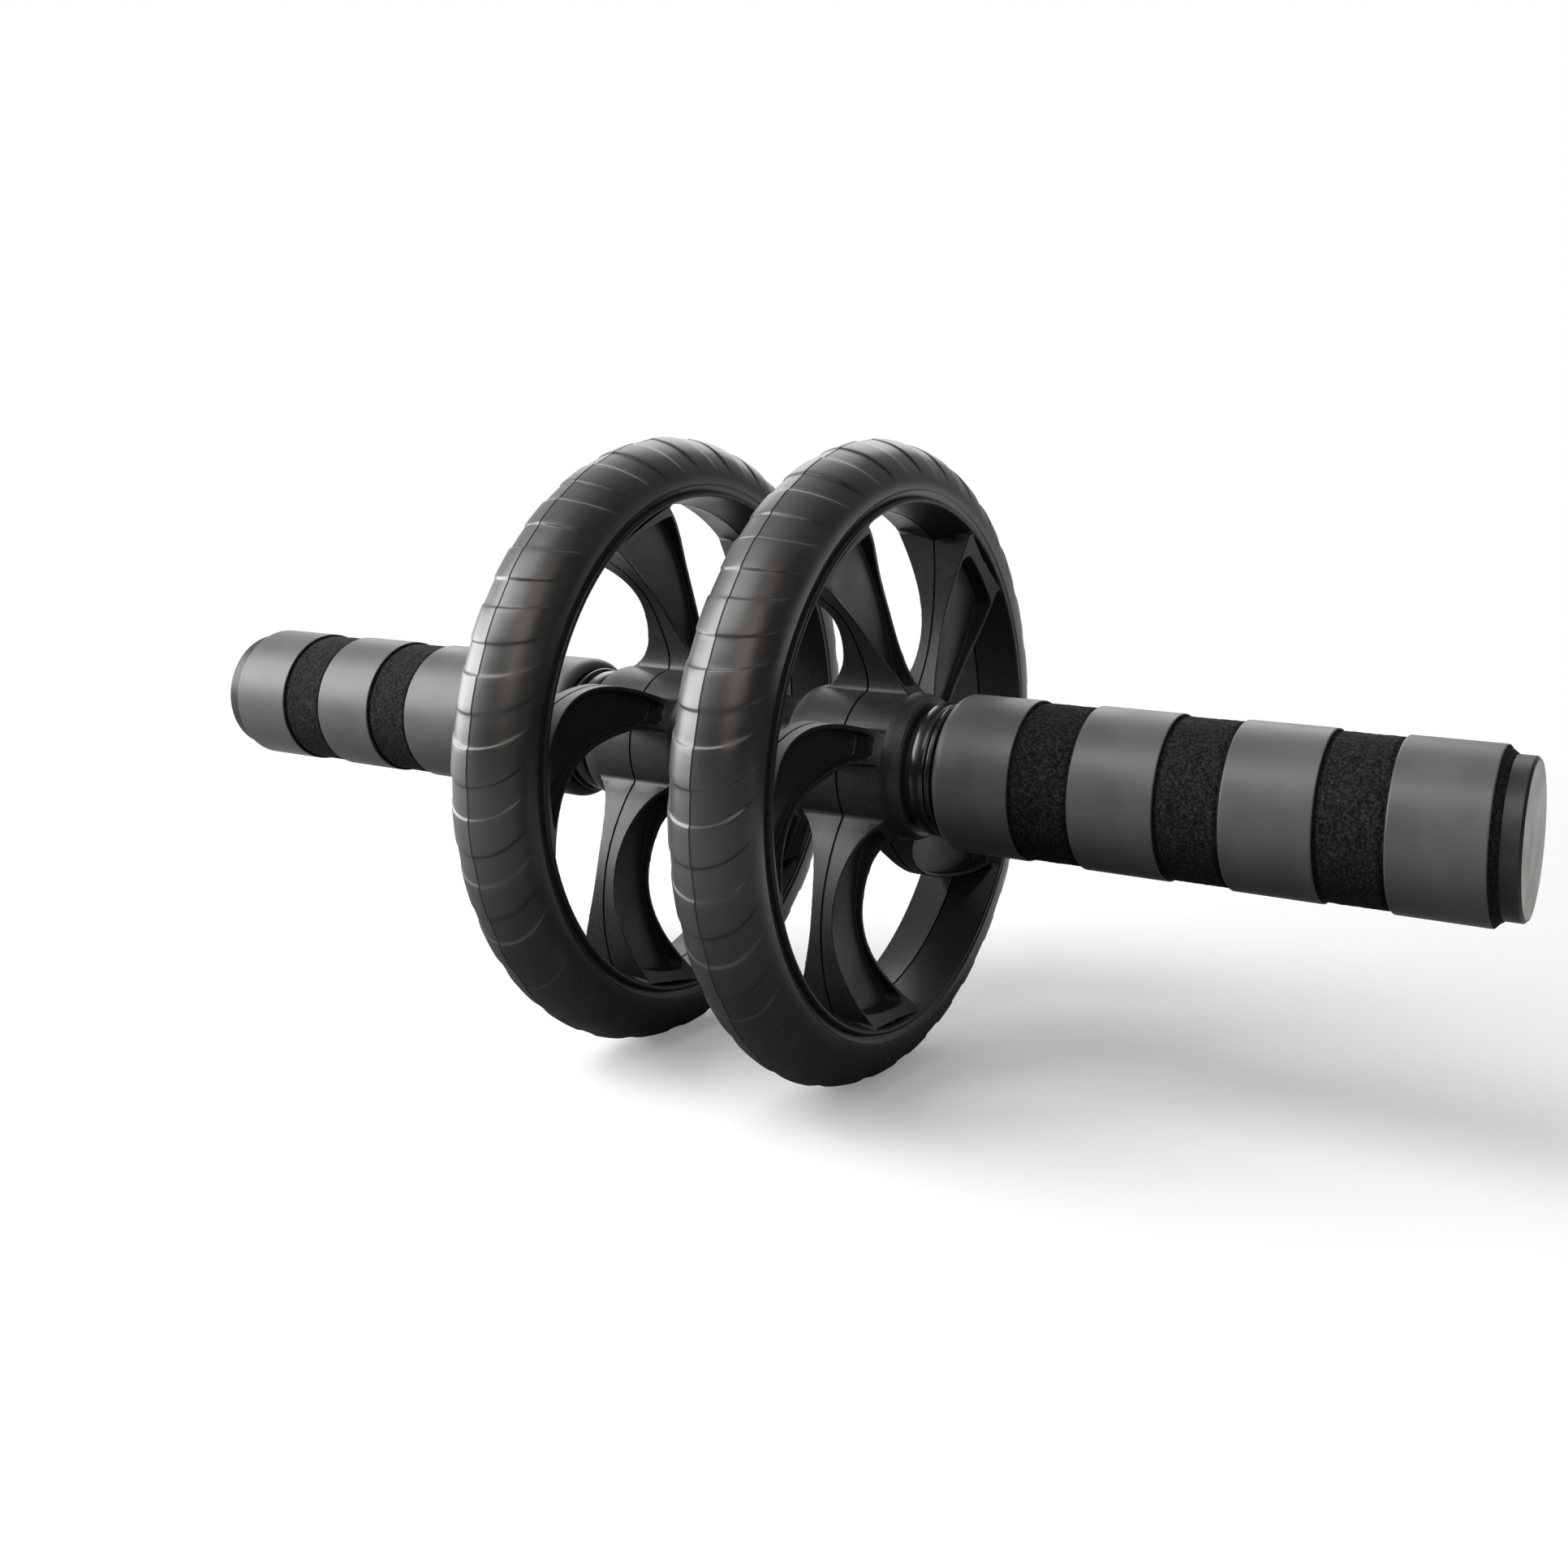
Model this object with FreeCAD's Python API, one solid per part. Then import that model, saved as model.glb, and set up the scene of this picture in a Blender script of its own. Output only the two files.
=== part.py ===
import FreeCAD, Part
import math
import os

# Two-wheel ab roller. Millimetres, +Z up, axle along X, floor at Z = 0 under the middle of the axle.

# Wheel
TYRE_R = 70.0
TYRE_HALF_WIDTH = 9.5
TYRE_CROWN = 9.4
TYRE_DEPTH = 12.3
WHEEL_X = 27.0
RIM_LIP = 1.1
RIM_MID = 3.2
RIM_PROUD = 0.95
RIM_EDGE = 0.3
KEY_HEIGHT = 2.0
KEY_HALF_WIDTH = 3.0
HUB_R = 16.0
HUB_TAPER = 0.8
HUB_HALF_LENGTH = 14.4
HUB_CHAMFER = 0.6
# Groove where the two halves of a wheel meet
SEAM_HALF = 0.25
SEAM_DEPTH = 0.5
SPOKE_COUNT = 5
SPOKE_SINK = 0.12
SPOKE_FLARE = 1.3
SPOKE_ROOT_HALF = 10.2
# Pocket in each side of a spoke, inside a lip; its floor is a share of the half thickness
LIP_WIDTH = 1.1
POCKET_CORNER = 1.4
POCKET_FLOOR = 0.5
# Angle of the root of the first spoke, seen from the right end, measured from +Y
RIGHT_PHASE = 87.3
LEFT_PHASE = 80.2
# Spoke stations from hub to rim: share of the way out, trailing and leading angle, half thickness
SPOKE_STATIONS = [
    (0.0, -11.4, 12.9, 8.8),
    (0.2, -5.8, 18.4, 4.35),
    (0.4, 0.4, 24.9, 2.8),
    (0.6, 7.5, 32.2, 2.9),
    (0.8, 15.3, 39.4, 5.2),
    (1.0, 24.3, 46.2, 9.0),
]

# Axle, bushes and spacer
AXLE_R = 8.0
AXLE_WALL = 1.5
RUNNING_GAP = 0.05
THRUST_GAP = 0.4
BUSH_WALL = 2.5
BUSH_APART = 4.0
FLANGE_THICK = 0.8
FLANGE_STEP = 1.9
SPACER_WALL = 4.5

# Handle
COLLAR_DROP = 2.45
COLLAR_RIB_HEIGHT = 0.4
COLLAR_GROOVE_DEPTH = 0.8
COLLAR_EDGE = 0.4
COLLAR_FIRST = 3.7
COLLAR_GROOVE = 0.3
COLLAR_RIB = 1.5
COLLAR_NECK = 0.8
CORE_WALL = 3.0
GRIP_R = 16.65
SKIN = 0.35
GROOVE_DEPTH = 1.0
BAND_COUNT = 4
BAND_WIDTH = 17.2
GROOVE_WIDTH = 12.7
SHOULDER_R = 2.2
END_CHAMFER = 1.6
END_DROP = 1.2
CAP_DROP = 1.65
CAP_THICK = 3.6
CAP_EDGE = 0.5
CAP_RIM = 0.8
DISC_THICK = 0.8
SPIGOT_LENGTH = 16.0
SPIGOT_WALL = 2.5
SPIGOT_GAP = 0.5

# Worked out from the sizes above
AXLE_Z = TYRE_R
RIM_OUT = TYRE_R - TYRE_DEPTH
RIM_IN_LIP = RIM_OUT - RIM_LIP
RIM_IN_MID = RIM_OUT - RIM_MID
BUSH_R = AXLE_R + BUSH_WALL
HUB_END_R = HUB_R - HUB_TAPER
SPOKE_FOOT = HUB_R - SPOKE_SINK
SPOKE_IN = SPOKE_FOOT + SPOKE_FLARE
SPOKE_OUT = RIM_IN_MID + RIM_LIP
CORE_R = AXLE_R + CORE_WALL
COLLAR_R = GRIP_R - COLLAR_DROP
COLLAR_RIB_R = COLLAR_R + COLLAR_RIB_HEIGHT
COLLAR_GROOVE_R = COLLAR_R - COLLAR_GROOVE_DEPTH
CAP_R = GRIP_R - CAP_DROP
DISC_R = CAP_R - CAP_RIM
HUB_END = WHEEL_X + HUB_HALF_LENGTH
HUB_START = WHEEL_X - HUB_HALF_LENGTH
SPACER_END = HUB_START - FLANGE_THICK - THRUST_GAP
CORE_START = HUB_END + FLANGE_THICK + THRUST_GAP
GRIP_START = CORE_START + COLLAR_FIRST + COLLAR_GROOVE + COLLAR_RIB + COLLAR_NECK
BAND_STEP = BAND_WIDTH + GROOVE_WIDTH
SKIN_END = GRIP_START + BAND_COUNT * BAND_STEP - GROOVE_WIDTH
GRIP_END = SKIN_END + END_CHAMFER
CAP_END = GRIP_END + CAP_THICK
AXLE_END = GRIP_END - SPIGOT_LENGTH - SPIGOT_GAP
FOAM_R = GRIP_R - SKIN

X_AXIS = FreeCAD.Vector(1, 0, 0)
ORIGIN = FreeCAD.Vector(0, 0, 0)


# A point of a turned section: distance along the axle and radius
def at(x, r):
    return FreeCAD.Vector(x, 0, r)


# Closed chain of edges from points; three points in a tuple make an arc
def section(items):
    edges = []
    last = None
    for item in items + items[:1]:
        if isinstance(item, tuple):
            start, middle, end = item
            if last is not None and last.distanceToPoint(start) > 1e-6:
                edges.append(Part.LineSegment(last, start).toShape())
            if item is not items[0] or last is None:
                edges.append(Part.Arc(start, middle, end).toShape())
            last = end
        else:
            if last is not None and last.distanceToPoint(item) > 1e-6:
                edges.append(Part.LineSegment(last, item).toShape())
            last = item
    return Part.Wire(edges)


# Solid turned about the X axis
def turned(wire):
    return Part.Face(wire).revolve(ORIGIN, X_AXIS, 360)


# Plain ring on the X axis
def ring(x0, x1, inner, outer):
    return turned(section([at(x0, inner), at(x1, inner), at(x1, outer), at(x0, outer)]))


def mirrored(shape):
    return shape.mirror(ORIGIN, X_AXIS)


# Lift a shape built on the X axis to the height of the axle
def lifted(shape, x=0.0):
    moved = shape.copy()
    moved.translate(FreeCAD.Vector(x, 0, AXLE_Z))
    return moved


def save(shape, name):
    shape.exportStep("parts/" + name + ".step")


# Half width of the tyre at a radius
def tyre_half(r):
    centre = TYRE_R - TYRE_CROWN
    return TYRE_HALF_WIDTH * math.sqrt(max(0.0, 1 - ((r - centre) / TYRE_CROWN) ** 2))


BEAD_HALF = tyre_half(RIM_OUT)
RIM_HALF = BEAD_HALF + RIM_PROUD


# Crowned tyre with a groove inside for the rim's key
def make_tyre():
    centre = TYRE_R - TYRE_CROWN
    low = math.asin((RIM_OUT - centre) / TYRE_CROWN)
    steps = 24
    points = []
    for i in range(steps + 1):
        a = low + (math.pi - 2 * low) * i / steps
        points.append(at(TYRE_HALF_WIDTH * math.cos(a), centre + TYRE_CROWN * math.sin(a)))
    crown = Part.BSplineCurve()
    crown.interpolate(points)
    key = RIM_OUT + KEY_HEIGHT
    inside = [
        points[-1],
        at(-KEY_HALF_WIDTH, RIM_OUT),
        at(-KEY_HALF_WIDTH, key),
        at(KEY_HALF_WIDTH, key),
        at(KEY_HALF_WIDTH, RIM_OUT),
        points[0],
    ]
    edges = [crown.toShape()]
    for a, b in zip(inside, inside[1:]):
        edges.append(Part.LineSegment(a, b).toShape())
    return turned(Part.Wire(edges))


def polar(r, degrees):
    a = math.radians(degrees)
    return FreeCAD.Vector(0, r * math.cos(a), r * math.sin(a))


def station_radius(station):
    return SPOKE_IN + station[0] * (SPOKE_OUT - SPOKE_IN)


# Ends and curve of one flank of a spoke, flared into the hub; side is -1 trailing, 1 leading
def flank(side, inset):
    column = 1 if side < 0 else 2
    points = []
    for degrees in (0, 30, 60):
        a = math.radians(degrees)
        r = SPOKE_FOOT + SPOKE_FLARE * (1 - math.cos(a))
        flare = SPOKE_FLARE * (1 - math.sin(a)) - inset
        points.append(polar(r, SPOKE_STATIONS[0][column] + side * math.degrees(flare / r)))
    for station in SPOKE_STATIONS:
        r = station_radius(station)
        points.append(polar(r, station[column] - side * math.degrees(inset / r)))
    curve = Part.BSplineCurve()
    curve.interpolate(points)
    return points[0], points[-1], curve.toShape()


# Blade between two flanks drawn in by a distance, from inside the hub to inside the rim
def blade(inset, x0, x1):
    root = (BUSH_R + HUB_R) / 2 / SPOKE_FOOT
    tip = (SPOKE_OUT + RIM_OUT) / 2 / SPOKE_OUT
    trail_foot, trail_end, trail = flank(-1, inset)
    lead_foot, lead_end, lead = flank(1, inset)
    outline = Part.Wire([
        Part.LineSegment(trail_foot * root, trail_foot).toShape(),
        trail,
        Part.LineSegment(trail_end, trail_end * tip).toShape(),
        Part.LineSegment(trail_end * tip, lead_end * tip).toShape(),
        Part.LineSegment(lead_end * tip, lead_end).toShape(),
        lead,
        Part.LineSegment(lead_foot, lead_foot * root).toShape(),
        Part.LineSegment(lead_foot * root, trail_foot * root).toShape(),
    ])
    outline.translate(FreeCAD.Vector(x0, 0, 0))
    return Part.Face(outline).extrude(FreeCAD.Vector(x1 - x0, 0, 0))


# Side of the spokes in section, with the half thickness times a share
def waist(share):
    points = [at(share * SPOKE_ROOT_HALF, HUB_R)]
    for station in SPOKE_STATIONS:
        points.append(at(share * station[3], station_radius(station)))
    curve = Part.BSplineCurve()
    curve.interpolate(points)
    return curve


# Turned space under that side, carried on straight into hub and rim
def waist_space(share):
    curve = waist(share)
    start = curve.value(curve.FirstParameter)
    end = curve.value(curve.LastParameter)
    inward = curve.tangent(curve.FirstParameter)[0]
    outward = curve.tangent(curve.LastParameter)[0]
    foot = start + inward * ((BUSH_R - start.z) / inward.z)
    top = end + outward * ((RIM_OUT - end.z) / outward.z)
    return turned(Part.Wire([
        Part.LineSegment(at(0, BUSH_R), foot).toShape(),
        Part.LineSegment(foot, start).toShape(),
        curve.toShape(),
        Part.LineSegment(end, top).toShape(),
        Part.LineSegment(top, at(0, RIM_OUT)).toShape(),
        Part.LineSegment(at(0, RIM_OUT), at(0, BUSH_R)).toShape(),
    ]))


# Straight edges of a prism that run along the X axis
def upright_edges(prism):
    found = []
    for edge in prism.Edges:
        a = edge.Vertexes[0].Point
        b = edge.Vertexes[-1].Point
        if math.hypot(a.y - b.y, a.z - b.z) < 1e-6:
            found.append(edge)
    return found


# One half spoke on the parting plane, with a pocket inside a lip
def make_half_spoke():
    body = blade(SEAM_DEPTH, 0, SEAM_HALF).fuse(blade(0, SEAM_HALF, HUB_HALF_LENGTH))
    mouth = ring(0, HUB_HALF_LENGTH, SPOKE_IN, RIM_IN_MID - LIP_WIDTH)
    pocket = blade(LIP_WIDTH, 0, HUB_HALF_LENGTH).common(mouth)
    pocket = pocket.makeFillet(POCKET_CORNER, upright_edges(pocket))
    return body.common(waist_space(1)).cut(pocket.cut(waist_space(POCKET_FLOOR)))


# Arc that rounds the hub down towards its end, from the end to the straight part
def hub_rounding():
    run = HUB_HALF_LENGTH - HUB_CHAMFER - SPOKE_ROOT_HALF
    bend = (run ** 2 + HUB_TAPER ** 2) / (2 * HUB_TAPER)
    half_turn = math.asin(run / bend) / 2
    middle = at(SPOKE_ROOT_HALF + bend * math.sin(half_turn), HUB_R - bend * (1 - math.cos(half_turn)))
    return at(SPOKE_ROOT_HALF + run, HUB_END_R), middle, at(SPOKE_ROOT_HALF, HUB_R)


# Moulded wheel half standing on the parting plane at x = 0, towards +X
def make_half_wheel():
    hub = turned(section([
        at(0, BUSH_R),
        at(HUB_HALF_LENGTH, BUSH_R),
        at(HUB_HALF_LENGTH, HUB_END_R - HUB_CHAMFER),
        hub_rounding(),
        at(SEAM_HALF, HUB_R),
        at(SEAM_HALF, HUB_R - SEAM_DEPTH),
        at(0, HUB_R - SEAM_DEPTH),
    ]))
    slope = (RIM_IN_LIP - RIM_IN_MID) / RIM_HALF
    rim = turned(section([
        at(0, RIM_IN_MID + SEAM_DEPTH),
        at(SEAM_HALF, RIM_IN_MID + SEAM_DEPTH),
        at(SEAM_HALF, RIM_IN_MID + slope * SEAM_HALF),
        at(RIM_HALF - RIM_EDGE, RIM_IN_LIP - slope * RIM_EDGE),
        at(RIM_HALF, RIM_IN_LIP + RIM_EDGE),
        at(RIM_HALF, RIM_OUT - RIM_EDGE),
        at(RIM_HALF - RIM_EDGE, RIM_OUT),
        at(KEY_HALF_WIDTH, RIM_OUT),
        at(KEY_HALF_WIDTH, RIM_OUT + KEY_HEIGHT),
        at(0, RIM_OUT + KEY_HEIGHT),
    ]))
    spoke = make_half_spoke()
    spokes = []
    for i in range(SPOKE_COUNT):
        turn = spoke.copy()
        turn.rotate(ORIGIN, X_AXIS, 360.0 / SPOKE_COUNT * i)
        spokes.append(turn)
    return hub.fuse([rim] + spokes).removeSplitter()


# Flanged bush: sleeve inside the hub end, flange on its face
def make_bush():
    inner = AXLE_R + RUNNING_GAP
    flange = BUSH_R + FLANGE_STEP
    start = BUSH_APART / 2
    end = HUB_HALF_LENGTH + FLANGE_THICK
    return turned(section([
        at(start, inner),
        at(end, inner),
        at(end, flange),
        at(HUB_HALF_LENGTH, flange),
        at(HUB_HALF_LENGTH, BUSH_R),
        at(start, BUSH_R),
    ]))


# Handle core: stepped collar at the hub end and the tube under the foam
def make_core():
    x = CORE_START
    first = x + COLLAR_FIRST
    rib = first + COLLAR_GROOVE
    rib_end = rib + COLLAR_RIB
    return turned(section([
        at(x, AXLE_R),
        at(GRIP_END, AXLE_R),
        at(GRIP_END, CORE_R),
        at(GRIP_START, CORE_R),
        at(GRIP_START, COLLAR_GROOVE_R),
        at(rib_end + COLLAR_EDGE, COLLAR_GROOVE_R),
        at(rib_end, COLLAR_RIB_R - COLLAR_EDGE),
        at(rib_end - COLLAR_EDGE, COLLAR_RIB_R),
        at(rib + COLLAR_EDGE, COLLAR_RIB_R),
        at(rib, COLLAR_GROOVE_R),
        at(first, COLLAR_GROOVE_R),
        at(first - COLLAR_EDGE, COLLAR_R),
        at(x + COLLAR_EDGE, COLLAR_R),
        at(x, COLLAR_R - COLLAR_EDGE),
    ]))


# Rounded inner shoulder of the grip at a given depth under the skin's surface
def shoulder(depth):
    r = GRIP_R - depth
    bulge = SHOULDER_R * (1 - math.sqrt(0.5))
    start = at(GRIP_START, r - SHOULDER_R)
    middle = at(GRIP_START + bulge, r - bulge)
    end = at(GRIP_START + SHOULDER_R, r)
    return start, middle, end


def band_start(i):
    return GRIP_START + i * BAND_STEP


# Black foam sleeve, ground down between the skin bands and chamfered at the end
def make_foam():
    items = [at(GRIP_START, CORE_R), shoulder(SKIN)]
    for i in range(BAND_COUNT - 1):
        a = band_start(i) + BAND_WIDTH
        b = band_start(i + 1)
        items += [at(a, FOAM_R), at(a, GRIP_R - GROOVE_DEPTH), at(b, GRIP_R - GROOVE_DEPTH), at(b, FOAM_R)]
    items += [at(SKIN_END, FOAM_R), at(GRIP_END, FOAM_R - END_DROP), at(GRIP_END, CORE_R)]
    return turned(section(items))


# Thin grey skin left standing between the ground bands
def make_band(i):
    a = band_start(i)
    b = a + BAND_WIDTH
    if i > 0:
        return ring(a, b, FOAM_R, GRIP_R)
    under = shoulder(SKIN)
    over = shoulder(0.0)
    return turned(section([at(b, GRIP_R), (over[2], over[1], over[0]), under, at(b, FOAM_R)]))


# End cap: flange over the foam's end, recess for the disc, spigot in the core
def make_cap():
    recess = CAP_END - DISC_THICK
    start = GRIP_END - SPIGOT_LENGTH
    return turned(section([
        at(start, AXLE_R - SPIGOT_WALL),
        at(start, AXLE_R),
        at(GRIP_END, AXLE_R),
        at(GRIP_END, CAP_R),
        at(CAP_END - CAP_EDGE, CAP_R),
        at(CAP_END, CAP_R - CAP_EDGE),
        at(CAP_END, DISC_R),
        at(recess, DISC_R),
        at(recess, 0),
        at(GRIP_END, 0),
        at(GRIP_END, AXLE_R - SPIGOT_WALL),
    ]))


def make_disc():
    return Part.makeCylinder(DISC_R, DISC_THICK, at(CAP_END - DISC_THICK, 0), X_AXIS)


os.makedirs("parts", exist_ok=True)

save(lifted(ring(-AXLE_END, AXLE_END, AXLE_R - AXLE_WALL, AXLE_R)), "axle")
save(lifted(ring(-SPACER_END, SPACER_END, AXLE_R, AXLE_R + SPACER_WALL)), "center_spacer")

HANDLE = {
    "handle_core": make_core(),
    "grip_foam": make_foam(),
    "end_cap": make_cap(),
    "cap_disc": make_disc(),
}
for i in range(BAND_COUNT):
    HANDLE["grip_band_" + str(i + 1)] = make_band(i)
for name, shape in HANDLE.items():
    save(lifted(shape), "right_" + name)
    save(lifted(mirrored(shape)), "left_" + name)

HALF_WHEEL = make_half_wheel()
TYRE = make_tyre()
BUSH = make_bush()
for side, x, phase in (("right", WHEEL_X, RIGHT_PHASE), ("left", -WHEEL_X, LEFT_PHASE)):
    up = HALF_WHEEL.copy()
    up.rotate(ORIGIN, X_AXIS, phase)
    outer, inner = (up, mirrored(up)) if x > 0 else (mirrored(up), up)
    far, near = (BUSH, mirrored(BUSH)) if x > 0 else (mirrored(BUSH), BUSH)
    save(lifted(outer, x), side + "_wheel_outer_half")
    save(lifted(inner, x), side + "_wheel_inner_half")
    save(lifted(TYRE, x), side + "_tyre")
    save(lifted(far, x), side + "_bush_outer")
    save(lifted(near, x), side + "_bush_inner")
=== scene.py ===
import math

import bmesh
import bpy
from mathutils import Matrix, Vector, noise
from mathutils.bvhtree import BVHTree
from mathutils.interpolate import poly_3d_calc


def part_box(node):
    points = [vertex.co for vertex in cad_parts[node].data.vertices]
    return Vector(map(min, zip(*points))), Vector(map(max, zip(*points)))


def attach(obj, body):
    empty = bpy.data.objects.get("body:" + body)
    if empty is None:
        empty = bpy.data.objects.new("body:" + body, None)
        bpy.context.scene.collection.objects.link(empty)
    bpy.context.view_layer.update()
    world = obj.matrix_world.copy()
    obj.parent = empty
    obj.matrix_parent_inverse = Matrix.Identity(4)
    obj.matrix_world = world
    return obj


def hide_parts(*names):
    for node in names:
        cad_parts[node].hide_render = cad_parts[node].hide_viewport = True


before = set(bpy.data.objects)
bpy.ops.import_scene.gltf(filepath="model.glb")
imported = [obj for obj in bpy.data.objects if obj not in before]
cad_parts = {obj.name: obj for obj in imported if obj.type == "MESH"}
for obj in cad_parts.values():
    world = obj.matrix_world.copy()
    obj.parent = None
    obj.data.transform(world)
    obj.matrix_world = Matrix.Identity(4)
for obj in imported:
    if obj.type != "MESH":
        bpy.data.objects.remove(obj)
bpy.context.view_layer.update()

MM = 0.001
SIDES = {"left": -1, "right": 1}

# The photograph's camera, sizes in millimetres and pixels
IMAGE_SIZE = 1932
CAMERA_PLACE = Vector((200.29, -320.39, 131.71)) * MM
CAMERA_AZIMUTH = math.radians(30.850)
CAMERA_ELEVATION = math.radians(5.169)
CAMERA_ROLL = math.radians(1.236)
FOCAL_PIXELS = 2076.16
CENTRE_PIXEL = (991.19, 773.99)
SENSOR = 36.0
CLIP_START = 0.01

# Tyre cross section
TYRE_CROWN = 9.4 * MM
TYRE_DEPTH = 12.3 * MM
BEAD_TOP = 1.4 * MM
BEAD_STEP = 0.3 * MM
CREASE_SLOPE = 0.13
SEAM_HALF = 0.22 * MM
SEAM_FLAT = 0.3 * SEAM_HALF
SEAM_DEPTH = 0.25 * MM
KEY_HALF = 3.0 * MM
KEY_HEIGHT = 2.0 * MM
RIM_CLEAR = 0.03 * MM

# Tread: curved blocks across the tyre, every second one lower by a small step
TREAD_PAIRS = 30
TREAD_RAISED = 0.542
TREAD_STEP = 0.28 * MM
TREAD_RAMP = 0.058
TREAD_LEAD = math.radians(5.4)
TREAD_BEND = 2.2
TREAD_END = math.radians(5.0)
TREAD_FADE = 0.62
TREAD_PHASE = {"right": math.radians(182.3), "left": math.radians(174.9)}

# Rows of points across the tyre from bead to seam, angles in radians, and round each block
BEAD_ROWS = 3
WALL_GAP = 0.03
WALL_ROWS = 3
CROWN_END = 1.35
CROWN_ROWS = 18
SEAM_PLACES = [x * MM for x in (1.4, 0.9, 0.5, 0.3, 0.22, 0.12, 0.0)]
RAMP_ROWS = 6
BLOCK_ROWS = 6
TYRE_SHARP = math.radians(40)

# Moulded wheel halves: their edges are slightly rounded
EDGE_ROUND = 0.25 * MM
EDGE_SEGMENTS = 2
EDGE_PROFILE = 0.5
EDGE_ANGLE = math.radians(32)
EDGE_INNER_R = 12.0 * MM
EDGE_OUTER_R = 57.9 * MM
EDGE_CLEAR = 0.8 * MM
SAME_PLACE = 0.001 * MM
READ_INSET = 0.02

# Grip sleeve: ground foam between the skin bands, with a narrow groove beside each band
FOAM_BORE = 11.0 * MM
FOAM_DEPTH = 0.42 * MM
GROOVE_DEPTH = 0.8 * MM
GROOVE_WALL = 0.15 * MM
GROOVE_WIDTH = 0.75 * MM
GROUND_START = 1.05 * MM
FOAM_LIP = 0.2 * MM
END_FACE_DEPTH = 3.4 * MM
END_DROP = 1.2 * MM
FOAM_ROWS = 26
END_ROWS = 4
AROUND_FOAM = 240
FOAM_SHARP = math.radians(60)

# Grain of the foam: two sizes of noise, and how much of it each place has
GRAIN = 0.11 * MM
GRAIN_SIZE = 0.9 * MM
COARSE_SIZE = 2.7
COARSE_SHARE = 0.6
COARSE_SHIFT = Vector((7, 3, 5))
GRAIN_SINK = 0.5
SMOOTH = 0.0
GROOVE_ROUGH = 0.2
FACE_ROUGH = 0.3
END_ROUGH = 0.6
GROUND_ROUGH = 1.0

# Skin bands on the sleeve
BANDS = 4
SKIN = 0.35 * MM
SKIN_EDGE = 0.15 * MM
SKIN_FLAT = 2.5 * SKIN_EDGE
SKIN_MARGIN = 3.0 * MM
SKIN_ROWS = 8
SHOULDER_R = 2.2 * MM
SHOULDER_ROWS = 8
AROUND_SKIN = 128
SKIN_SHARP = math.radians(50)

# Handle core: two rounded ribs beside the hub, then the tube under the foam
COLLAR_FIRST = 3.7 * MM
COLLAR_GROOVE = 0.3 * MM
COLLAR_RIB = 1.5 * MM
COLLAR_RIB_HEIGHT = 1.2 * MM
COLLAR_STEP = 0.4 * MM
COLLAR_POWER = 2.6
RIB_ROWS = 20
CORE_R = 11.0 * MM
CORE_BORE = 8.03 * MM
AROUND_CORE = 128
CORE_SHARP = math.radians(50)

# Finishes: tones and roughness as ranges, fields as size, detail and stretch, relief as depth and strength
FIELD_RANGE = (0.3, 0.7)
DRAWN = (1.0 * MM, 3.0, (0.03, 1, 1))
FINISHES = {
    "satin_black_plastic": dict(
        tones=((0.013, 0.013, 0.014), (0.026, 0.025, 0.025)),
        roughness=(0.34, 0.48), specular=0.4,
        wide=(14 * MM, 3.0), fine=(0.7 * MM, 3.0),
        fine_tone=(0.35, 0.7), relief=(0.06 * MM, 0.5),
    ),
    "tyre_rubber": dict(
        tones=((0.022, 0.022, 0.022), (0.038, 0.036, 0.034)),
        roughness=(0.34, 0.42), specular=0.8,
        wide=(18 * MM, 4.0), fine=(0.5 * MM, 3.0), relief=(0.02 * MM, 0.3),
    ),
    "ground_foam": dict(
        tones=((0.002, 0.002, 0.002), (0.03, 0.029, 0.028)),
        roughness=(0.8, 1.0), specular=0.15,
        wide=(2.2 * MM, 3.0), fine=(0.55 * MM, 3.0),
        fine_tone=(0.42, 0.72), relief=(0.25 * MM, 0.8),
    ),
    "foam_skin": dict(
        tones=((0.066, 0.067, 0.072), (0.088, 0.086, 0.088)),
        roughness=(0.36, 0.46), specular=0.35,
        wide=(9 * MM, 3.0, (1, 0.6, 0.6)), fine=(0.6 * MM, 2.0), relief=(0.03 * MM, 0.35),
    ),
    "glossy_black_plastic": dict(
        tones=((0.01, 0.01, 0.01), (0.018, 0.017, 0.017)),
        roughness=(0.16, 0.28), specular=0.5,
        wide=(6 * MM, 3.0), fine=(0.8 * MM, 2.0), relief=(0.02 * MM, 0.25),
    ),
    "cap_plastic": dict(
        tones=((0.014, 0.014, 0.014), (0.024, 0.023, 0.022)),
        roughness=(0.34, 0.46), specular=0.35,
        wide=(7 * MM, 3.0), fine=(0.5 * MM, 2.0), relief=(0.03 * MM, 0.3),
    ),
    "cap_disc_finish": dict(
        tones=((0.275, 0.245, 0.22), (0.34, 0.305, 0.275)),
        roughness=(0.3, 0.42), specular=0.5,
        wide=(8 * MM, 3.0), fine=(0.5 * MM, 2.0), relief=(0.03 * MM, 0.3),
    ),
    "axle_tube_steel": dict(
        tones=((0.42, 0.42, 0.43), (0.58, 0.57, 0.56)),
        roughness=(0.22, 0.4), specular=0.5, metallic=1.0,
        wide=DRAWN, fine=DRAWN, fine_tone=(0.0, 1.0), relief=(0.02 * MM, 0.3),
    ),
    "bush_nylon": dict(
        tones=((0.03, 0.03, 0.03), (0.05, 0.048, 0.045)),
        roughness=(0.32, 0.5), specular=0.5,
        wide=(5 * MM, 3.0), fine=(5 * MM, 3.0), relief=(0.03 * MM, 0.2),
    ),
}

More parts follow.
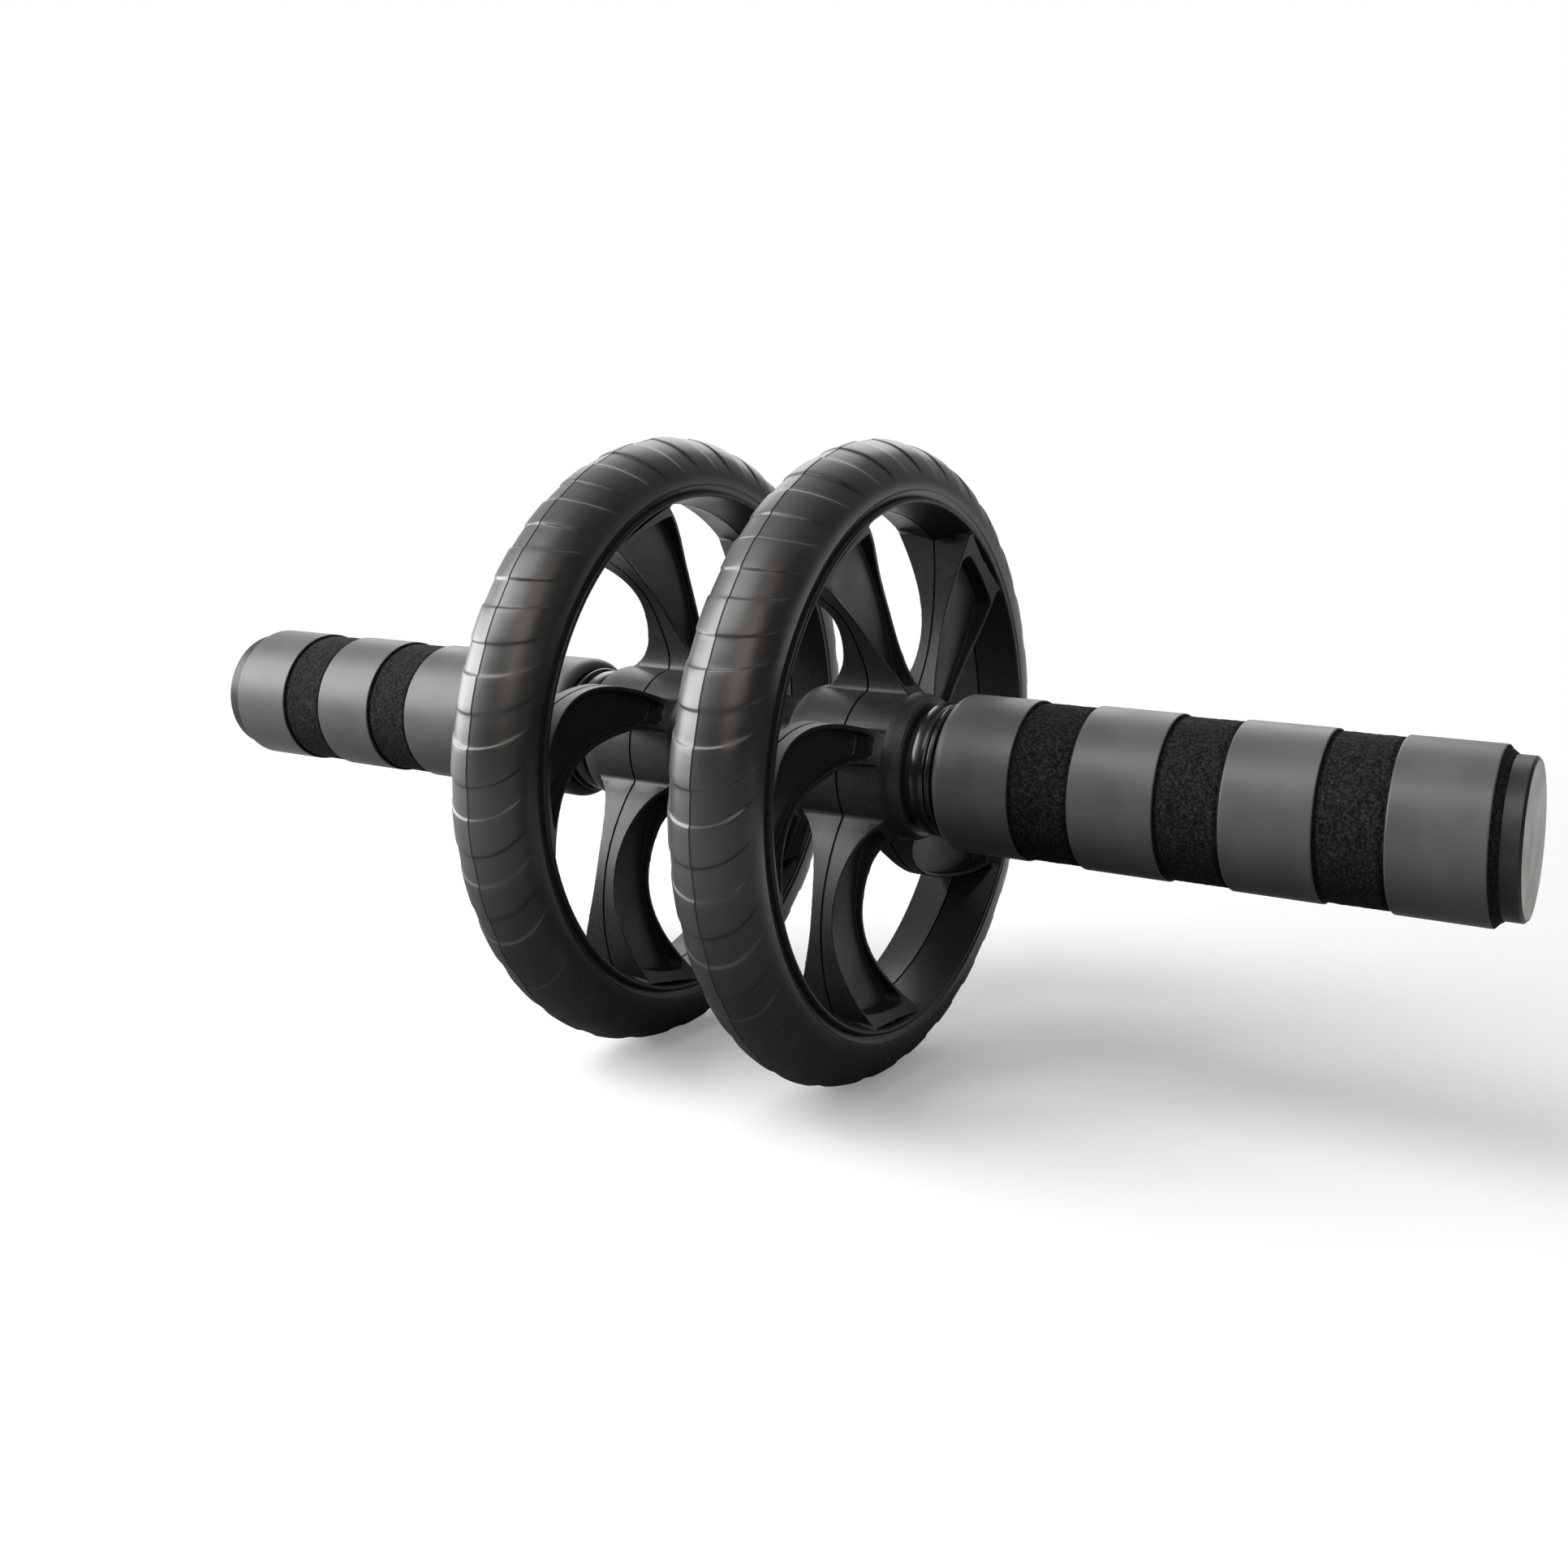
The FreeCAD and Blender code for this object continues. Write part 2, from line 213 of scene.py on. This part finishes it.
# Floor and world: ranges are from low, from high, to low, to high
WHITE = (1.0, 1.0, 1.0, 1.0)
FLOOR_HALF = 4.0
FLOOR_SEEN = (0.9, 0.9, 0.9)
FLOOR_BOUNCE = (0.1, 0.1, 0.1)
FLOOR_ROUGHNESS = 0.8
FLOOR_SPECULAR = 0.2
FLOOR_FADE = (0.14, 0.6, 0.2, 1.0)
DIM_SIDE = (0.7, -0.7, 0.0)
MIRROR_DIM = (-0.1, 0.5, 1.0, 0.1)
MIRROR_SQUEEZE = (0.6, 1.0, 1.0)
MIRROR_CLEAR = (0.07, 0.18, 0.0, 1.0)
ROOM_LIGHT = 0.12
BACKDROP_SIDE = (-0.8, 0.5, 0.33)
BACKDROP_FADE = (-0.2, 0.9, 0.03, 0.8)

# Lamps, in metres and watts
LAMP_TARGET = (0, 0, 0.07)
LAMPS = {
    "window": dict(place=(-0.75, -0.59, 0.57), size=(0.75, 0.95), power=19.5),
    "side": dict(place=(-1.0, -0.14, 0.2), size=(0.5, 0.34), power=4.5, target=(0, 0, 0.08)),
    "back": dict(place=(-0.55, 0.95, 0.85), size=(1.1, 0.9), power=7.0),
    "sky": dict(place=(-0.1, -0.6, 0.95), size=(0.6, 0.5), power=4.0),
    "room": dict(place=(0.75, -0.75, 0.75), size=(0.8, 0.8), power=4.0, colour=(1.0, 0.88, 0.78)),
}


def mesh_object(name, points, faces):
    mesh = bpy.data.meshes.new(name)
    mesh.from_pydata(points, [], faces)
    mesh.validate()
    turn_outward(mesh)
    mesh.shade_smooth()
    obj = bpy.data.objects.new(name, mesh)
    bpy.context.scene.collection.objects.link(obj)
    return obj


def turn_outward(mesh):
    """Point every face of a closed mesh away from its inside."""
    work = bmesh.new()
    work.from_mesh(mesh)
    bmesh.ops.recalc_face_normals(work, faces=work.faces)
    work.to_mesh(mesh)
    work.free()


def ring_faces(rows, count):
    """Quads between rows of points that each go once round the axle, the last row joined to the first."""
    faces = []
    for i in range(rows):
        j = (i + 1) % rows
        for k in range(count):
            n = (k + 1) % count
            faces.append((i * count + k, i * count + n, j * count + n, j * count + k))
    return faces


def smoothstep(low, high, value):
    t = min(max((value - low) / (high - low), 0.0), 1.0)
    return t * t * (3 - 2 * t)


def spread(low, high, count):
    return [low + (high - low) * i / count for i in range(count + 1)]


# Shader nodes: an owner is a material or the world, and a Mix node's colour sockets go by number

MIX_FIRST = 6
MIX_SECOND = 7
MIX_RESULT = 2


def link(owner, output, socket):
    owner.node_tree.links.new(output, socket)


def remap(owner, value, low, high, to_low, to_high):
    node = owner.node_tree.nodes.new("ShaderNodeMapRange")
    node.inputs["From Min"].default_value = low
    node.inputs["From Max"].default_value = high
    node.inputs["To Min"].default_value = to_low
    node.inputs["To Max"].default_value = to_high
    link(owner, value, node.inputs["Value"])
    return node.outputs["Result"]


def math_node(owner, operation, first, second):
    node = owner.node_tree.nodes.new("ShaderNodeMath")
    node.operation = operation
    link(owner, first, node.inputs[0])
    link(owner, second, node.inputs[1])
    return node.outputs["Value"]


def vector_node(owner, operation, first, second=(0, 0, 0)):
    node = owner.node_tree.nodes.new("ShaderNodeVectorMath")
    node.operation = operation
    link(owner, first, node.inputs[0])
    node.inputs[1].default_value = second
    return node.outputs["Vector" if operation == "MULTIPLY" else "Value"]


def blend_colours(owner, factor, first, second):
    node = owner.node_tree.nodes.new("ShaderNodeMix")
    node.data_type = "RGBA"
    link(owner, factor, node.inputs["Factor"])
    node.inputs[MIX_FIRST].default_value = (*first, 1.0)
    node.inputs[MIX_SECOND].default_value = (*second, 1.0)
    return node.outputs[MIX_RESULT]


def blend_shaders(owner, factor, first, second):
    node = owner.node_tree.nodes.new("ShaderNodeMixShader")
    link(owner, factor, node.inputs["Fac"])
    link(owner, first, node.inputs[1])
    link(owner, second, node.inputs[2])
    return node.outputs["Shader"]


def shown_rays(owner, path):
    """1 for rays that show the background itself, straight or through a clear piece."""
    return math_node(owner, "MAXIMUM", path.outputs["Is Camera Ray"], path.outputs["Is Transmission Ray"])


def noise_field(mat, size, detail, stretch=(1, 1, 1)):
    """Noise in the object's own coordinates, with features of about that size."""
    nodes = mat.node_tree.nodes
    place = nodes.new("ShaderNodeTexCoord")
    scale = nodes.new("ShaderNodeMapping")
    scale.inputs["Scale"].default_value = [s / size for s in stretch]
    field = nodes.new("ShaderNodeTexNoise")
    field.inputs["Scale"].default_value = 1.0
    field.inputs["Detail"].default_value = detail
    link(mat, place.outputs["Object"], scale.inputs["Vector"])
    link(mat, scale.outputs["Vector"], field.inputs["Vector"])
    return field.outputs["Fac"]


def add_bump(mat, shader, height, depth, strength):
    node = mat.node_tree.nodes.new("ShaderNodeBump")
    node.inputs["Distance"].default_value = depth
    node.inputs["Strength"].default_value = strength
    link(mat, height, node.inputs["Height"])
    link(mat, node.outputs["Normal"], shader.inputs["Normal"])


# Materials

def new_material(name, colour, roughness, specular):
    mat = bpy.data.materials.new(name)
    mat.use_nodes = True
    shader = mat.node_tree.nodes["Principled BSDF"]
    shader.inputs["Base Color"].default_value = (*colour, 1.0)
    shader.inputs["Roughness"].default_value = roughness
    shader.inputs["Specular IOR Level"].default_value = specular
    return mat, shader


def make_finish(name, tones, roughness, specular, wide, fine, relief, fine_tone=None, metallic=0.0):
    """A wide field sets roughness and tone, a fine one relief, and tone too where fine_tone is given."""
    middle = [(dark + pale) / 2 for dark, pale in zip(*tones)]
    mat, shader = new_material(name, middle, sum(roughness) / 2, specular)
    shader.inputs["Metallic"].default_value = metallic
    cloud = noise_field(mat, *wide)
    grain = noise_field(mat, *fine)
    if fine_tone:
        share = remap(mat, grain, *fine_tone, 0, 1)
    else:
        share = remap(mat, cloud, *FIELD_RANGE, 0, 1)
    link(mat, blend_colours(mat, share, *tones), shader.inputs["Base Color"])
    link(mat, remap(mat, cloud, *FIELD_RANGE, *roughness), shader.inputs["Roughness"])
    add_bump(mat, shader, grain, *relief)
    return mat


# Tyre

def tyre_sizes(side):
    low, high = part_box(side + "_tyre")
    middle = (low + high) / 2
    return middle.x, middle.z, (high.z - low.z) / 2, (high.x - low.x) / 2


def tread_lead(share):
    """How far round the wheel a tread line has run, share 0 at the seam and 1 at its end."""
    return TREAD_LEAD * share ** TREAD_BEND


def block_depth(turn):
    """0 on a raised block and 1 on a lowered one, turn counted in pairs of blocks."""
    t = (turn + TREAD_RAMP / 2) % 1.0
    up = smoothstep(0.0, TREAD_RAMP, t)
    down = smoothstep(TREAD_RAISED, TREAD_RAISED + TREAD_RAMP, t)
    return 1.0 - up + down


def block_turns():
    """Places round the wheel, close together on the steps between blocks."""
    turns = []
    for pair in range(TREAD_PAIRS):
        for start, end in ((0.0, TREAD_RAISED), (TREAD_RAISED, 1.0)):
            step = spread(start - TREAD_RAMP / 2, start + TREAD_RAMP / 2, RAMP_ROWS)
            flat = spread(start + TREAD_RAMP / 2, end - TREAD_RAMP / 2, BLOCK_ROWS)[1:-1]
            turns += [pair + t for t in step + flat]
    return turns


def tyre_angles(radius, half):
    """Angles of the points across one half of the tyre, the first BEAD_ROWS + 1 of them on the bead."""
    centre = radius - TYRE_CROWN
    bead = radius - TYRE_DEPTH
    start = math.asin((bead - centre) / TYRE_CROWN)
    step = math.asin((bead + BEAD_TOP - centre) / TYRE_CROWN)
    angles = spread(start, step, BEAD_ROWS)
    angles += spread(step + WALL_GAP, TREAD_END, WALL_ROWS)
    angles += spread(TREAD_END, CROWN_END, CROWN_ROWS)[1:]
    angles += [math.acos(x / half) for x in SEAM_PLACES]
    return angles


def tyre_outline(radius, half):
    """Points across one half of the tyre from bead to seam: x, r, normal and tread share."""
    centre = radius - TYRE_CROWN
    outline = []
    for i, a in enumerate(tyre_angles(radius, half)):
        x = half * math.cos(a)
        away = max(0.0, 1.0 - x / half)
        r = centre + TYRE_CROWN * math.sin(a) - CREASE_SLOPE * x * away ** 2
        if i <= BEAD_ROWS:
            x -= BEAD_STEP
        r -= SEAM_DEPTH * (1.0 - smoothstep(SEAM_FLAT, SEAM_HALF, x))
        normal = Vector((math.cos(a) / half, math.sin(a) / TYRE_CROWN)).normalized()
        share = min(1.0, max(0.0, (math.pi / 2 - a) / (math.pi / 2 - TREAD_END)))
        outline.append((x, r, normal, share))
    return outline


def tyre_row(x, r, normal, share, turns, phase, centre_x, centre_z):
    depth = TREAD_STEP * (1.0 - smoothstep(TREAD_FADE, 1.0, share))
    start = phase - tread_lead(share)
    points = []
    for turn in turns:
        drop = depth * block_depth(turn)
        angle = start + turn * 2 * math.pi / TREAD_PAIRS
        rr = r - drop * normal.y
        xx = x - drop * normal.x * (1 if x > 0 else -1)
        points.append((centre_x + xx, rr * math.cos(angle), centre_z + rr * math.sin(angle)))
    return points


def make_tyre(side):
    centre_x, centre_z, radius, half = tyre_sizes(side)
    turns = block_turns()
    near = tyre_outline(radius, half)
    far = [(-x, r, normal, share) for x, r, normal, share in reversed(near[:-1])]
    bead = radius - TYRE_DEPTH + RIM_CLEAR
    key = bead + KEY_HEIGHT
    flat = Vector((0.0, 1.0))
    inside = [(-KEY_HALF, bead), (-KEY_HALF, key), (KEY_HALF, key), (KEY_HALF, bead)]
    rows = near + far + [(x, r, flat, 1.0) for x, r in inside]
    points = []
    for x, r, normal, share in rows:
        points += tyre_row(x, r, normal, share, turns, TREAD_PHASE[side], centre_x, centre_z)
    tyre = mesh_object(side + "_tread_tyre", points, ring_faces(len(rows), len(turns)))
    tyre.data.set_sharp_from_angle(angle=TYRE_SHARP)
    tyre.data.materials.append(MATERIALS["tyre_rubber"])
    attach(tyre, side + "_wheel")
    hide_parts(side + "_tyre")


# Wheel halves

def is_outer_edge(edge, centre_x, centre_z):
    """A sharp edge that shows: away from the seam, the hub's bore and the tyre's seat."""
    if not edge.is_manifold or edge.calc_face_angle(0.0) < EDGE_ANGLE:
        return False
    for vert in edge.verts:
        radius = math.hypot(vert.co.y, vert.co.z - centre_z)
        if abs(vert.co.x - centre_x) < EDGE_CLEAR or not EDGE_INNER_R < radius < EDGE_OUTER_R:
            return False
    return True


def round_edges(mesh, centre_x, centre_z):
    """Round the mesh's outer edges; gives the numbers of the faces that this adds."""
    work = bmesh.new()
    work.from_mesh(mesh)
    bmesh.ops.remove_doubles(work, verts=work.verts, dist=SAME_PLACE)
    edges = [e for e in work.edges if is_outer_edge(e, centre_x, centre_z)]
    made = bmesh.ops.bevel(
        work, geom=edges, offset=EDGE_ROUND, segments=EDGE_SEGMENTS, profile=EDGE_PROFILE, affect="EDGES"
    )
    work.faces.index_update()
    added = {face.index for face in made["faces"]}
    work.to_mesh(mesh)
    work.free()
    return added


def normal_reader(mesh):
    """A function that reads the mesh's own shading normal at a place on it."""
    mesh.calc_loop_triangles()
    places = [vert.co.copy() for vert in mesh.vertices]
    corners = [tuple(triangle.loops) for triangle in mesh.loop_triangles]
    verts = [tuple(triangle.vertices) for triangle in mesh.loop_triangles]
    normals = [corner.vector.copy() for corner in mesh.corner_normals]
    tree = BVHTree.FromPolygons(places, verts)

    def normal_at(point):
        place, _, index, _ = tree.find_nearest(point)
        shares = poly_3d_calc([places[v] for v in verts[index]], place)
        return sum((normals[c] * s for c, s in zip(corners[index], shares)), Vector()).normalized()

    return normal_at


def shade_rounded(mesh, added, normal_at):
    """Old faces keep the shading that they had, and the rounded edges run from one to the next."""
    normals = [Vector()] * len(mesh.loops)
    beside = {}
    for face in mesh.polygons:
        if face.index not in added:
            for loop in face.loop_indices:
                vertex = mesh.loops[loop].vertex_index
                normals[loop] = normal_at(mesh.vertices[vertex].co.lerp(face.center, READ_INSET))
                beside[vertex] = beside.get(vertex, Vector()) + normals[loop]
    for index in added:
        for loop in mesh.polygons[index].loop_indices:
            vertex = mesh.loops[loop].vertex_index
            normals[loop] = beside.get(vertex, mesh.vertex_normals[vertex].vector).normalized()
    mesh.shade_smooth()
    mesh.normals_split_custom_set(normals)


def make_shell(side, place):
    node = "%s_wheel_%s_half" % (side, place)
    centre_x, centre_z, _, _ = tyre_sizes(side)
    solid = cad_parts[node].data
    mesh = solid.copy()
    added = round_edges(mesh, centre_x, centre_z)
    shade_rounded(mesh, added, normal_reader(solid))
    shell = bpy.data.objects.new("%s_wheel_%s_shell" % (side, place), mesh)
    bpy.context.scene.collection.objects.link(shell)
    mesh.materials.clear()
    mesh.materials.append(MATERIALS["satin_black_plastic"])
    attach(shell, side + "_wheel")
    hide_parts(node)


# Grips

def grip_sizes(side):
    """Ends of the sleeve and of its skin bands, measured outward, then its radius and the axle's height."""
    sign = SIDES[side]
    low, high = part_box(side + "_grip_foam")
    ends = sorted((low.x * sign, high.x * sign))
    bands = []
    for i in range(BANDS):
        a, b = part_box("%s_grip_band_%d" % (side, i + 1))
        bands.append(tuple(sorted((a.x * sign, b.x * sign))))
    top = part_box(side + "_grip_band_2")
    return ends, bands, (top[1].z - top[0].z) / 2, (top[1].z + top[0].z) / 2


def shoulder_arc(start, radius, bend):
    return [
        (start + bend * (1 - math.cos(t)), radius - bend + bend * math.sin(t))
        for t in spread(0, math.pi / 2, SHOULDER_ROWS)
    ]


def ground_rows(start, end, radius):
    """The sleeve between two skin bands: down into a groove, along the ground foam, and out of a groove."""
    under = radius - SKIN
    low = radius - FOAM_DEPTH
    deep = radius - GROOVE_DEPTH
    rows = [(start - FOAM_LIP, under, SMOOTH), (start, under, SMOOTH)]
    rows += [(start + GROOVE_WALL, deep, SMOOTH), (start + GROOVE_WIDTH, deep, GROOVE_ROUGH)]
    rows += [(x, low, GROUND_ROUGH) for x in spread(start + GROUND_START, end - GROUND_START, FOAM_ROWS)]
    rows += [(end - GROOVE_WIDTH, deep, GROOVE_ROUGH), (end - GROOVE_WALL, deep, SMOOTH)]
    rows += [(end, under, SMOOTH), (end + FOAM_LIP, under, SMOOTH)]
    return rows


def foam_outline(ends, bands, radius):
    """Places along the sleeve: distance from the middle, radius, and how rough the surface is."""
    under = radius - SKIN
    last = bands[-1][1]
    outline = [(ends[0], FOAM_BORE, SMOOTH), (ends[0], radius - END_FACE_DEPTH, FACE_ROUGH)]
    outline += [(x, r, SMOOTH) for x, r in shoulder_arc(ends[0], under, SHOULDER_R)]
    for (_, start), (end, _) in zip(bands, bands[1:]):
        outline += ground_rows(start, end, radius)
    outline += [(last - FOAM_LIP, under, SMOOTH), (last, under + FOAM_LIP, SMOOTH)]
    places = spread(last, ends[1], END_ROWS)[1:]
    heights = spread(under, under - END_DROP, END_ROWS)[1:]
    outline += [(x, r, END_ROUGH) for x, r in zip(places, heights)]
    outline.append((ends[1], FOAM_BORE, SMOOTH))
    return outline


def grain_at(point):
    fine = noise.noise(point / GRAIN_SIZE)
    coarse = noise.noise(point / (COARSE_SIZE * GRAIN_SIZE) + COARSE_SHIFT)
    return fine + COARSE_SHARE * coarse


def revolve(outline, sign, axis_z, count):
    """Points of an outline turned round the axle, moved in or out by the grain where it is rough."""
    points = []
    for x, r, rough in outline:
        for k in range(count):
            angle = 2 * math.pi * k / count
            out = Vector((0, math.cos(angle), math.sin(angle)))
            p = Vector((sign * x, 0, axis_z)) + out * r
            if rough:
                p += out * (GRAIN * rough * (grain_at(p) - GRAIN_SINK))
            points.append(p)
    return points


def make_foam(side):
    ends, bands, radius, axis_z = grip_sizes(side)
    outline = foam_outline(ends, bands, radius)
    points = revolve(outline, SIDES[side], axis_z, AROUND_FOAM)
    foam = mesh_object(side + "_grip_sleeve", points, ring_faces(len(outline), AROUND_FOAM))
    foam.data.set_sharp_from_angle(angle=FOAM_SHARP)
    foam.data.materials.append(MATERIALS["ground_foam"])
    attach(foam, "frame")
    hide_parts(side + "_grip_foam")


def skin_outline(start, end, radius, rounded):
    """A thin band, flat up to its narrow edges, or with a rounded shoulder at its start."""
    under = radius - SKIN
    outline = [(end - SKIN_EDGE, under), (end, under + SKIN_EDGE)]
    outline += [(end, radius - SKIN_EDGE), (end - SKIN_EDGE, radius), (end - SKIN_FLAT, radius)]
    outline += [(x, radius) for x in reversed(spread(start + SKIN_MARGIN, end - SKIN_MARGIN, SKIN_ROWS))]
    if rounded:
        outline += reversed(shoulder_arc(start, radius, SHOULDER_R))
        outline += shoulder_arc(start, under, SHOULDER_R)[1:]
    else:
        outline += [(start + SKIN_FLAT, radius), (start + SKIN_EDGE, radius), (start, radius - SKIN_EDGE)]
        outline += [(start, under + SKIN_EDGE), (start + SKIN_EDGE, under)]
    return [(x, r, SMOOTH) for x, r in outline]


def make_skins(side):
    _, bands, radius, axis_z = grip_sizes(side)
    for i, (start, end) in enumerate(bands):
        outline = skin_outline(start, end, radius, i == 0)
        points = revolve(outline, SIDES[side], axis_z, AROUND_SKIN)
        name = "%s_grip_skin_%d" % (side, i + 1)
        skin = mesh_object(name, points, ring_faces(len(outline), AROUND_SKIN))
        skin.data.set_sharp_from_angle(angle=SKIN_SHARP)
        skin.data.materials.append(MATERIALS["foam_skin"])
        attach(skin, "frame")
        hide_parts("%s_grip_band_%d" % (side, i + 1))


# Handle cores

def rib_arc(start, end, base, height):
    """A rib's rounded back, from its foot at one end to its foot at the other."""
    middle = (start + end) / 2
    half = (end - start) / 2
    bend = 2 / COLLAR_POWER
    arc = []
    for t in spread(-math.pi / 2, math.pi / 2, RIB_ROWS):
        along = math.copysign(abs(math.sin(t)) ** bend, math.sin(t))
        up = math.cos(t) ** bend
        arc.append((middle + half * along, base + height * up))
    return arc


def core_outline(start, end, grip_start, rib_top):
    base = rib_top - COLLAR_RIB_HEIGHT
    first = start + COLLAR_FIRST
    rib = first + COLLAR_GROOVE
    outline = [(start, CORE_BORE)]
    outline += rib_arc(start, first, base, COLLAR_RIB_HEIGHT - COLLAR_STEP)
    outline += rib_arc(rib, rib + COLLAR_RIB, base, COLLAR_RIB_HEIGHT)
    outline += [(grip_start, base), (grip_start, CORE_R), (end, CORE_R), (end, CORE_BORE)]
    return [(x, r, SMOOTH) for x, r in outline]


def make_core(side):
    sign = SIDES[side]
    low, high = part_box(side + "_handle_core")
    start, end = sorted((low.x * sign, high.x * sign))
    grip_start = grip_sizes(side)[0][0]
    outline = core_outline(start, end, grip_start, (high.z - low.z) / 2)
    points = revolve(outline, sign, (high.z + low.z) / 2, AROUND_CORE)
    core = mesh_object(side + "_core_sleeve", points, ring_faces(len(outline), AROUND_CORE))
    core.data.set_sharp_from_angle(angle=CORE_SHARP)
    core.data.materials.append(MATERIALS["glossy_black_plastic"])
    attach(core, "frame")
    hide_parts(side + "_handle_core")


def dress_nodes(finish, *endings):
    """Give a finish to the nodes that keep their CAD shape."""
    for name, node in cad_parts.items():
        if name.endswith(endings):
            node.data.materials.clear()
            node.data.materials.append(MATERIALS[finish])


# Stage

def floor_whiteness(mat, path):
    """White to the camera away from the object, and in reflections on the bright side of it."""
    place = mat.node_tree.nodes.new("ShaderNodeTexCoord").outputs["Object"]
    fade = remap(mat, vector_node(mat, "LENGTH", place), *FLOOR_FADE)
    bright = remap(mat, vector_node(mat, "DOT_PRODUCT", place, DIM_SIDE), *MIRROR_DIM)
    squeezed = vector_node(mat, "MULTIPLY", place, MIRROR_SQUEEZE)
    clear = remap(mat, vector_node(mat, "LENGTH", squeezed), *MIRROR_CLEAR)
    seen = math_node(mat, "MULTIPLY", shown_rays(mat, path), fade)
    glow = math_node(mat, "MULTIPLY", bright, clear)
    mirrored = math_node(mat, "MULTIPLY", path.outputs["Is Glossy Ray"], glow)
    return math_node(mat, "MAXIMUM", seen, mirrored)


def floor_finish():
    mat, shader = new_material("pale_floor", FLOOR_SEEN, FLOOR_ROUGHNESS, FLOOR_SPECULAR)
    nodes = mat.node_tree.nodes
    path = nodes.new("ShaderNodeLightPath")
    pale = blend_colours(mat, path.outputs["Is Camera Ray"], FLOOR_BOUNCE, FLOOR_SEEN)
    link(mat, pale, shader.inputs["Base Color"])
    white = nodes.new("ShaderNodeEmission").outputs["Emission"]
    surface = blend_shaders(mat, floor_whiteness(mat, path), shader.outputs["BSDF"], white)
    link(mat, surface, nodes["Material Output"].inputs["Surface"])
    return mat


def make_floor():
    half = FLOOR_HALF
    corners = [(-half, -half, 0), (half, -half, 0), (half, half, 0), (-half, half, 0)]
    floor = mesh_object("floor", corners, [(0, 1, 2, 3)])
    floor.data.materials.append(floor_finish())


def backdrop_glow(world):
    """Brightness of the backdrop in reflections: white behind and left, dim to the right."""
    nodes = world.node_tree.nodes
    place = nodes.new("ShaderNodeTexCoord").outputs["Generated"]
    facing = vector_node(world, "DOT_PRODUCT", place, Vector(BACKDROP_SIDE).normalized())
    return remap(world, facing, *BACKDROP_FADE)


def make_world():
    """White to the camera, the backdrop in reflections, and a weak even light for the rest."""
    world = bpy.data.worlds.new("studio")
    bpy.context.scene.world = world
    world.use_nodes = True
    nodes = world.node_tree.nodes
    room = nodes["Background"]
    room.inputs["Color"].default_value = WHITE
    room.inputs["Strength"].default_value = ROOM_LIGHT
    white = nodes.new("ShaderNodeBackground")
    white.inputs["Color"].default_value = WHITE
    path = nodes.new("ShaderNodeLightPath")
    shown = shown_rays(world, path)
    link(world, math_node(world, "MAXIMUM", shown, backdrop_glow(world)), white.inputs["Strength"])
    pictured = math_node(world, "MAXIMUM", shown, path.outputs["Is Glossy Ray"])
    surface = blend_shaders(world, pictured, room.outputs["Background"], white.outputs["Background"])
    link(world, surface, nodes["World Output"].inputs["Surface"])


def make_lamp(name, place, size, power, target=LAMP_TARGET, colour=(1, 1, 1)):
    lamp = bpy.data.lights.new(name, "AREA")
    lamp.shape = "RECTANGLE"
    lamp.size, lamp.size_y = size
    lamp.energy = power
    lamp.color = colour
    obj = bpy.data.objects.new(name, lamp)
    obj.visible_camera = False
    obj.location = place
    obj.rotation_euler = (Vector(target) - Vector(place)).to_track_quat("-Z", "Y").to_euler()
    bpy.context.scene.collection.objects.link(obj)


def make_camera():
    data = bpy.data.cameras.new("camera")
    data.sensor_fit = "HORIZONTAL"
    data.sensor_width = SENSOR
    data.lens = FOCAL_PIXELS / IMAGE_SIZE * SENSOR
    data.shift_x = (IMAGE_SIZE / 2 - CENTRE_PIXEL[0]) / IMAGE_SIZE
    data.shift_y = (CENTRE_PIXEL[1] - IMAGE_SIZE / 2) / IMAGE_SIZE
    data.clip_start = CLIP_START
    camera = bpy.data.objects.new("camera", data)
    a = CAMERA_AZIMUTH
    e = CAMERA_ELEVATION
    back = Vector((math.sin(a) * math.cos(e), -math.cos(a) * math.cos(e), math.sin(e)))
    turn = Matrix.Rotation(CAMERA_ROLL, 3, back) @ (-back).to_track_quat("-Z", "Y").to_matrix()
    camera.matrix_world = Matrix.Translation(CAMERA_PLACE) @ turn.to_4x4()
    bpy.context.scene.collection.objects.link(camera)
    bpy.context.scene.camera = camera


MATERIALS = {name: make_finish(name, **values) for name, values in FINISHES.items()}

for side in SIDES:
    make_tyre(side)
    make_shell(side, "outer")
    make_shell(side, "inner")
    make_foam(side)
    make_skins(side)
    make_core(side)

dress_nodes("glossy_black_plastic", "center_spacer")
dress_nodes("cap_plastic", "end_cap")
dress_nodes("cap_disc_finish", "cap_disc")
dress_nodes("axle_tube_steel", "axle")
dress_nodes("bush_nylon", "bush_outer", "bush_inner")

make_floor()
make_world()
for name, values in LAMPS.items():
    make_lamp(name, **values)
make_camera()

bpy.context.scene.view_settings.view_transform = "Standard"
